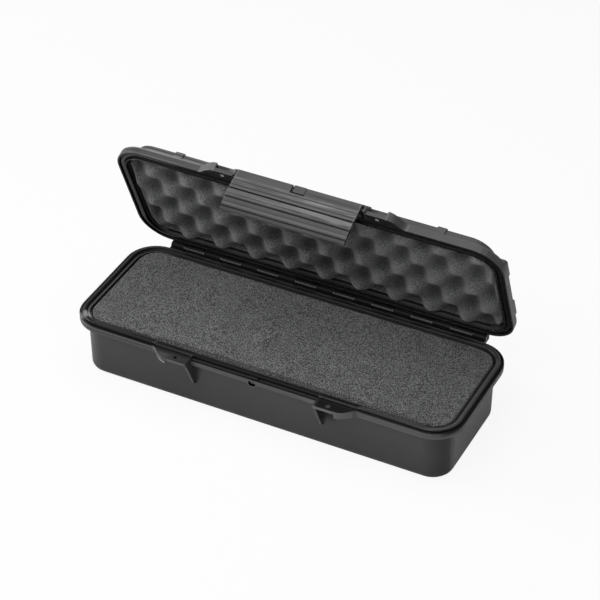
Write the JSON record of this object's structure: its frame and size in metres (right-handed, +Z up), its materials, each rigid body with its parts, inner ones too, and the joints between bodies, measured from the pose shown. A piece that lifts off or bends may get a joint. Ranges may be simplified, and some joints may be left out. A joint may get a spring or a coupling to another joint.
{
  "type": "hard case",
  "caption": "Long narrow moulded hard case with a flat foam block in its base, egg-crate foam in its hinged lid and a wide ribbed front latch.",
  "frame": {"origin": "middle of the rim's outline, on the table under the base", "axes": "+X along the case to its right end, -Y out of the latch side, +Z up"},
  "size_m": [0.54, 0.2362, 0.2952],
  "materials": {
    "shell": "satin black moulded plastic",
    "foam": "matt dark grey open foam",
    "seal": "smooth black rubber",
    "pin": "plain drawn steel"
  },
  "bodies": {
    "base": {"base_shell": "shell", "base_foam": "foam", "hinge_pin_left": "pin", "hinge_pin_right": "pin"},
    "lid": {"lid_shell": "shell", "lid_foam": "foam", "lid_seal": "seal", "latch_pin_left": "pin", "latch_pin_right": "pin"},
    "latch": {"latch_lever": "shell"}
  },
  "joints": [
    {"name": "lid_hinge", "type": "hinge", "parent": "base", "child": "lid", "pos_m": [0, 0.107, 0.08493], "axis": [-1, 0, 0], "range_deg": [-67.7, 33]},
    {"name": "latch_hinge", "type": "hinge", "parent": "lid", "child": "latch", "pos_m": [0, 0.03118, 0.28686], "axis": [-1, 0, 0], "range_deg": [0, 120]}
  ]
}
